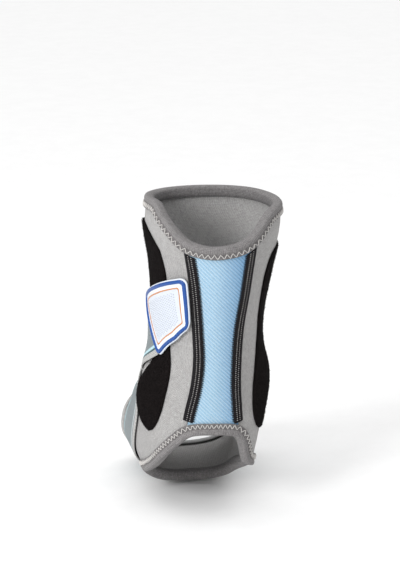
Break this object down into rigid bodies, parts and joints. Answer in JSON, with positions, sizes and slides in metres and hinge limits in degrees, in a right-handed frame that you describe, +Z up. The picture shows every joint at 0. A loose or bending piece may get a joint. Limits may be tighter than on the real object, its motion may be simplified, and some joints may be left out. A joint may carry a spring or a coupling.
{
  "type": "ankle brace",
  "caption": "Knitted ankle brace for a left foot: sleeve open at heel and toes, ribbed back panel, landing pads, crossed elastic straps with moulded grips.",
  "frame": {"origin": "centre of the ankle joint on the leg's axis, 78 mm above the sole, where the mount ankle_seat holds the brace as worn", "axes": "+Z up the leg, +Y towards the toes, +X to the inner side of the left foot"},
  "size_m": [0.1044, 0.1594, 0.2244],
  "materials": {
    "knit": "light grey melange rib knit, matt",
    "panel": "light blue knit with slanting ribs, matt",
    "seam": "black flatlock thread with two rows of light ladder stitches",
    "binding": "mid grey melange stretch binding with light zigzag stitches",
    "hem": "light grey stretch binding, matt",
    "loop": "black brushed loop pile",
    "strap": "woven elastic, teal grey with light grey, dark teal and pale blue lines along it",
    "grip": "white moulded soft plastic, satin",
    "rim": "blue raised rim, half gloss"
  },
  "bodies": {
    "root": {"body": "knit", "achilles_panel": "panel", "lateral_seam": "seam", "medial_seam": "seam", "top_binding": "binding", "heel_binding": "binding", "toe_binding": "hem", "lateral_loop_pad": "loop", "medial_loop_pad": "loop", "lateral_strap": "strap", "medial_strap": "strap", "lateral_tab": "grip", "lateral_tab_rim": "rim", "medial_tab": "grip", "medial_tab_rim": "rim"}
  },
  "joints": []
}
